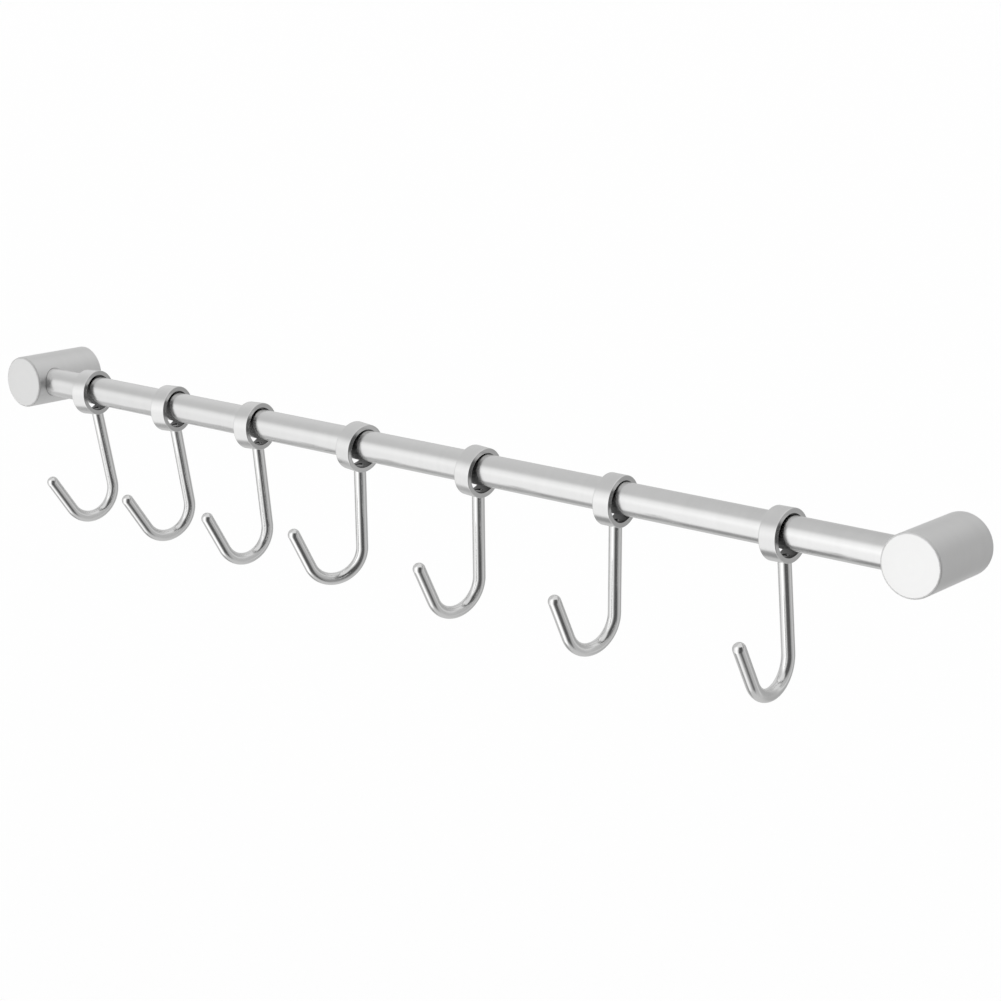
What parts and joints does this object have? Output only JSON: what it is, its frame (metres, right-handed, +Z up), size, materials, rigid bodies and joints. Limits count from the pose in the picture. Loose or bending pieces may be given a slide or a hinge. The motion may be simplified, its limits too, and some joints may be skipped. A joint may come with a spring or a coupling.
{
  "type": "wall coat rack",
  "caption": "Wall coat rack: a round steel rail between two turned wall posts, with J hooks that slide along it on loose rings.",
  "frame": {"origin": "on the wall plane, midway between the two wall screw holes, at the height of the posts' and the rail's axes", "axes": "+X along the rail to the right as seen from the room, +Y into the wall, +Z up"},
  "size_m": [0.46, 0.0547, 0.0691],
  "materials": {
    "rail_steel": "satin, brushed along the tube",
    "post_steel": "fine matte turned",
    "ring_steel": "satin turned",
    "wire_steel": "bright drawn wire",
    "plate_steel": "plain turned",
    "screw_steel": "plain"
  },
  "bodies": {
    "rack": {"rail": "rail_steel", "left_post": "post_steel", "right_post": "post_steel", "left_wall_plate": "plate_steel", "right_wall_plate": "plate_steel", "left_plate_screw": "screw_steel", "right_plate_screw": "screw_steel", "left_rail_screw": "screw_steel", "right_rail_screw": "screw_steel"},
    "hanger_1": {"ring_1": "ring_steel", "hook_1": "wire_steel"},
    "hanger_2": {"ring_2": "ring_steel", "hook_2": "wire_steel"},
    "hanger_3": {"ring_3": "ring_steel", "hook_3": "wire_steel"},
    "hanger_4": {"ring_4": "ring_steel", "hook_4": "wire_steel"},
    "hanger_5": {"ring_5": "ring_steel", "hook_5": "wire_steel"},
    "hanger_6": {"ring_6": "ring_steel", "hook_6": "wire_steel"},
    "hanger_7": {"ring_7": "ring_steel", "hook_7": "wire_steel"}
  },
  "joints": [
    {"name": "hanger_1_slide", "type": "slide", "parent": "rack", "child": "hanger_1", "axis": [1, 0, 0], "range_m": [-0.0185, 0.0415]},
    {"name": "hanger_2_slide", "type": "slide", "parent": "rack", "child": "hanger_2", "axis": [1, 0, 0], "range_m": [-0.0415, 0.041]},
    {"name": "hanger_3_slide", "type": "slide", "parent": "rack", "child": "hanger_3", "axis": [1, 0, 0], "range_m": [-0.041, 0.041]},
    {"name": "hanger_4_slide", "type": "slide", "parent": "rack", "child": "hanger_4", "axis": [1, 0, 0], "range_m": [-0.041, 0.05]},
    {"name": "hanger_5_slide", "type": "slide", "parent": "rack", "child": "hanger_5", "axis": [1, 0, 0], "range_m": [-0.05, 0.055]},
    {"name": "hanger_6_slide", "type": "slide", "parent": "rack", "child": "hanger_6", "axis": [1, 0, 0], "range_m": [-0.055, 0.06]},
    {"name": "hanger_7_slide", "type": "slide", "parent": "rack", "child": "hanger_7", "axis": [1, 0, 0], "range_m": [-0.06, 0.0375]}
  ]
}
